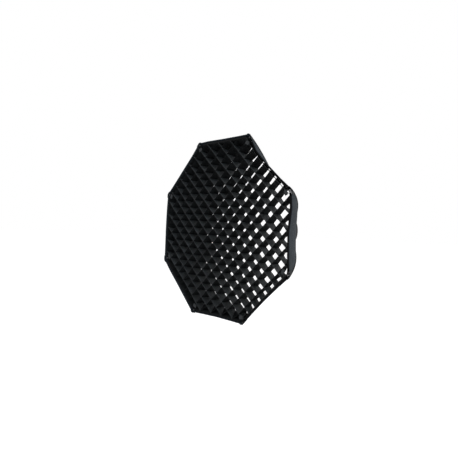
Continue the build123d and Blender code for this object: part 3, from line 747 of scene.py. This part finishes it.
def grid_strips(name, cad, rise, seed, cloth):
    """Strips along one diagonal. Each is a flat band from border to border whose surface wanders
    sideways by a few slow sines of its length, more at its loose back edge than at its front."""
    chance = np.random.default_rng(seed)
    pieces = []
    for index in range(CELLS - 1):
        offset = (index - (CELLS - 2) / 2) * CELL
        if rise < 0 and offset > 0:
            offset = offset + FALLING_DRIFT[index - CELLS // 2] / 1000
        lines = []
        for (shift, share, turn), y_edge in zip(STRIP_DRIFT[name], (GRID_FRONT_Y, GRID_BACK_Y)):
            room = border_flats(y_edge) - BORDER_CLOTH - abs(offset)
            place = offset + shift / 1000 + share * offset
            place = min(place, border_flats(y_edge) - NEAREST)
            lines.append((place, turn * min(1.0, max(0.0, room / 0.06))))
        front_ends = strip_ends(lines[0], rise, border_flats(GRID_FRONT_Y) - BORDER_CLOTH)
        back_ends = strip_ends(lines[1], rise, border_flats(GRID_BACK_Y) - BORDER_CLOTH)
        along = np.linspace(-1, 1, 150)[:, None]
        depth = np.linspace(0, 1, 10)[None, :]
        y = GRID_FRONT_Y + 0.0006 + (GRID_BACK_Y - GRID_FRONT_Y - 0.0012) * depth
        start = front_ends[0] + (back_ends[0] - front_ends[0]) * depth
        stop = front_ends[1] + (back_ends[1] - front_ends[1]) * depth
        length = start + (stop - start) * (along + 1) / 2
        wander = np.zeros_like(length)
        for wave in (1, 2, 3, 5, 8):
            phase, twist = chance.uniform(0, 2 * pi, 2)
            size = chance.uniform(0.4, 1.0) * 0.0016 / wave ** 0.45
            front = np.sin(length * wave * 9 + phase)
            back = np.sin(length * wave * 9 + phase + 0.7 * sin(twist))
            wander = wander + size * (front * (1 - depth) * 0.8 + back * depth * 1.25)
        wander = wander * np.clip((1 - np.abs(along)) * 9, 0, 1)
        front_line = lines[0][0] + lines[0][1] * length
        back_line = lines[1][0] + lines[1][1] * length
        cross = front_line + (back_line - front_line) * depth + wander
        fold = EDGE_FOLD * np.clip(1 - np.abs(depth * GRID_DEEP - 0.0035) / 0.0035, 0, 1)
        sides = []
        for sign in (1, -1):
            shifted = cross + sign * (GRID_CLOTH / 2 + fold)
            x = (length - rise * shifted) / sqrt(2)
            z = (rise * length + shifted) / sqrt(2)
            sides.append(lay(lean_in(np.stack(np.broadcast_arrays(x, y, z), -1))))
        uv = np.stack(np.broadcast_arrays(length, depth * GRID_DEEP), -1)
        pieces.append(shell_piece(f"{name}_{index}", sides[0], sides[1], uv))
    piece = join_pieces(name, pieces)
    piece.data.materials.append(cloth)
    piece.data.materials.append(cloth)
    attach(piece, "grid")
    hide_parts(cad)


grid_strips("rising_strips", "grid_rising_strips", 1, 5, grid_black)
# the falling strips take the lighter copy of the cloth: painted light
grid_strips("falling_strips", "grid_falling_strips", -1, 11, grid_satin)

# ---------------------------------------------------------------------------
# Corner tabs: short grey webbing pulls sewn inside each corner of the grid.
# ---------------------------------------------------------------------------
tab_grey = cloth_material(
    "tab_grey", (0.010, 0.0115, 0.013), (0.020, 0.0225, 0.025), 0.8, 0.2, 450, 90, 1.0, 0.0
)


def corner_tabs():
    """A rounded patch of webbing at each corner, a little arched, set across the corner."""
    pieces = []
    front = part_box("grid_corner_tabs")[0].y
    reach = (GRID_FRONT_FLATS / cos(HALF)) - 0.022
    for number in range(SIDES):
        angle = HALF + 2 * HALF * number
        across = np.linspace(-1, 1, 15)[:, None]
        along = np.linspace(-1, 1, 13)[None, :]
        square = 1 - 0.12 * (across ** 8) * (along ** 8)
        side = 0.011 * across * square
        out = reach + 0.008 * along * square
        arch = 0.0008 * (1 - across ** 2) * (1 - along ** 2)
        top = np.stack(np.broadcast_arrays(out, front + 0.0008 - arch, side), -1)
        low = np.stack(np.broadcast_arrays(out, front + 0.0015, side), -1)
        uv = np.stack(np.broadcast_arrays(side, out), -1)
        pieces.append(shell_piece(f"tab_{number}", turned(top, angle), turned(low, angle), uv))
    piece = join_pieces("corner_tabs", pieces)
    piece.data.materials.append(tab_grey)
    piece.data.materials.append(tab_grey)
    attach(piece, "grid")
    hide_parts("grid_corner_tabs")


corner_tabs()

# ---------------------------------------------------------------------------
# Diffuser: white translucent cloth stretched across the box behind the grid,
# lit from behind, so it glows a little by itself.
# ---------------------------------------------------------------------------
diffuser_white = cloth_material(
    "diffuser_white", (0.9, 0.9, 0.9), (0.97, 0.97, 0.97), 0.7, 0.3, 900, 6, 0.25, 0.0
)
glow = diffuser_white.node_tree.nodes["Principled BSDF"]
glow.inputs["Emission Color"].default_value = (1, 1, 1, 1)
glow.inputs["Emission Strength"].default_value = 0.85


def octagon_rings(corner, rings, per_side=24):
    """Rings of points that grow from nearly nothing to an octagon of a given corner radius."""
    angle = np.arange(SIDES * per_side) / (SIDES * per_side) * 2 * pi
    folded = (angle + HALF) % (2 * HALF) - HALF
    reach = corner * cos(HALF) / np.cos(folded)
    r = reach[:, None] * rings[None, :]
    return r * np.cos(angle)[:, None], r * np.sin(angle)[:, None]


def make_diffuser():
    """A flat octagon of cloth that billows a little, with its middle closed to a point."""
    low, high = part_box("diffuser_sheet")
    corner = high.x / cos(HALF)
    rings = np.linspace(0.0, 1.0, 40)
    x, z = octagon_rings(corner, rings)
    billow = 0.0015 * np.cos(x * 11 + 0.4) * np.cos(z * 9) * (1 - rings[None, :] ** 4)
    billow = billow + 0.003 * (1 - rings[None, :] ** 2)
    front = lay(np.stack([x, low.y + billow, z], -1))
    back = lay(np.stack([x, low.y + billow + 0.0008, z], -1))
    uv = np.stack([x, z], -1)
    piece = shell_piece("diffuser_cloth", front, back, uv, loop=True)
    work = bmesh.new()
    work.from_mesh(piece.data)
    bmesh.ops.remove_doubles(work, verts=work.verts, dist=1e-6)
    bmesh.ops.dissolve_degenerate(work, edges=work.edges, dist=1e-7)
    bmesh.ops.recalc_face_normals(work, faces=work.faces)
    work.to_mesh(piece.data)
    work.free()
    piece.data.materials.append(diffuser_white)
    piece.data.materials.append(diffuser_white)
    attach(piece, "diffuser")
    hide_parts("diffuser_sheet")


make_diffuser()


# ---------------------------------------------------------------------------
# Diffuser hem: a flat octagonal ring of black loop tape, sewn to the back of
# the cloth all round its edge.
# ---------------------------------------------------------------------------


def diffuser_hem():
    """A flat octagonal ring of loop tape behind the cloth's edge, with softened edges."""
    low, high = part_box("diffuser_hem")
    corner = high.x / cos(HALF)
    rings = np.linspace(1 - 0.0255 / corner, 1.0, 9)
    x, z = octagon_rings(corner, rings)
    soft = 0.0004 * np.abs(np.linspace(-1, 1, 9))[None, :] ** 6
    front = lay(np.stack([x, low.y + 0.0001 + soft + 0 * x, z], -1))
    back = lay(np.stack([x, high.y - soft + 0 * x, z], -1))
    piece = shell_piece("diffuser_loop_tape", front, back, np.stack([x, z], -1), loop=True)
    piece.data.materials.append(hook_black)
    piece.data.materials.append(hook_black)
    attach(piece, "diffuser")
    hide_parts("diffuser_hem")


diffuser_hem()

# ---------------------------------------------------------------------------
# Metal and moulded parts keep their machined shapes, and each takes its finish:
# powder coat on the hub, bright metal for the insert, sleeve and fixings, and
# black mouldings and lacquer for the knuckles, caps, runner, knob and rods.
# ---------------------------------------------------------------------------


def make_wear():
    """Fine grain and slow blotches in object space, for castings and mouldings."""
    group, start, end = new_group(
        "surface_grain",
        [("Vector", "NodeSocketVector", None), ("Grain", "NodeSocketFloat", 900.0)],
        [("Grain", "NodeSocketFloat"), ("Blotch", "NodeSocketFloat")],
    )
    fine = group.nodes.new("ShaderNodeTexNoise")
    fine.inputs["Detail"].default_value = 2.0
    group.links.new(start.outputs["Vector"], fine.inputs["Vector"])
    group.links.new(start.outputs["Grain"], fine.inputs["Scale"])
    slow = group.nodes.new("ShaderNodeTexNoise")
    slow.inputs["Scale"].default_value = 35.0
    slow.inputs["Detail"].default_value = 4.0
    group.links.new(start.outputs["Vector"], slow.inputs["Vector"])
    group.links.new(fine.outputs[0], end.inputs["Grain"])
    group.links.new(slow.outputs[0], end.inputs["Blotch"])
    return group


surface_grain = make_wear()


def hard_material(name, dark, light, rough_low, rough_high, metallic, grain, bump):
    """A casting, moulding or metal: two shades and the roughness by blotches, grain in the bump."""
    material = bpy.data.materials.new(name)
    material.use_nodes = True
    tree = material.node_tree
    shader = tree.nodes["Principled BSDF"]
    place = tree.nodes.new("ShaderNodeTexCoord")
    group = tree.nodes.new("ShaderNodeGroup")
    group.node_tree = surface_grain
    group.inputs["Grain"].default_value = grain
    tree.links.new(place.outputs["Object"], group.inputs["Vector"])
    ramp = tree.nodes.new("ShaderNodeValToRGB")
    ramp.color_ramp.elements[0].position = 0.35
    ramp.color_ramp.elements[0].color = (*dark, 1)
    ramp.color_ramp.elements[1].position = 0.68
    ramp.color_ramp.elements[1].color = (*light, 1)
    tree.links.new(group.outputs["Blotch"], ramp.inputs[0])
    tree.links.new(ramp.outputs[0], shader.inputs["Base Color"])
    rough = tree.nodes.new("ShaderNodeMapRange")
    rough.inputs["To Min"].default_value = rough_low
    rough.inputs["To Max"].default_value = rough_high
    tree.links.new(group.outputs["Blotch"], rough.inputs["Value"])
    tree.links.new(rough.outputs[0], shader.inputs["Roughness"])
    relief = tree.nodes.new("ShaderNodeBump")
    relief.inputs["Strength"].default_value = bump
    relief.inputs["Distance"].default_value = 0.0003
    tree.links.new(group.outputs["Grain"], relief.inputs["Height"])
    tree.links.new(relief.outputs[0], shader.inputs["Normal"])
    shader.inputs["Metallic"].default_value = metallic
    return material


powder_coat = hard_material(
    "powder_coat", (0.018, 0.018, 0.019), (0.03, 0.03, 0.032), 0.42, 0.58, 0.0, 1400, 0.5
)
turned_alloy = hard_material(
    "turned_alloy", (0.5, 0.5, 0.51), (0.68, 0.68, 0.69), 0.22, 0.4, 1.0, 500, 0.12
)
zinc_steel = hard_material(
    "zinc_steel", (0.45, 0.46, 0.47), (0.6, 0.61, 0.62), 0.28, 0.42, 1.0, 900, 0.15
)
moulded_black = hard_material(
    "moulded_black", (0.016, 0.016, 0.017), (0.026, 0.026, 0.027), 0.4, 0.62, 0.0, 1800, 0.45
)
rod_black = hard_material(
    "rod_black", (0.02, 0.02, 0.022), (0.04, 0.04, 0.043), 0.3, 0.45, 0.6, 900, 0.15
)
anodised = hard_material(
    "anodised", (0.52, 0.52, 0.53), (0.62, 0.62, 0.63), 0.3, 0.42, 1.0, 700, 0.1
)

FINISHES = {
    powder_coat: ["hub_plate", "retaining_ring"],
    turned_alloy: ["mount_insert"],
    zinc_steel: ["retaining_screws", "lock_stud", "hinge_pins", "crank_pins", "spring_catches"],
    moulded_black: ["runner", "lock_knob"],
    anodised: ["sleeve"],
}
for number in range(1, SIDES + 1):
    FINISHES[moulded_black].append(f"knuckle_{number}")
    FINISHES[moulded_black].append(f"tip_cap_{number}")
FINISHES[rod_black] = [f"rod_{number}" for number in range(1, SIDES + 1)]
for material, nodes in FINISHES.items():
    for node in nodes:
        frame["nodes"][node].data.materials.clear()
        frame["nodes"][node].data.materials.append(material)
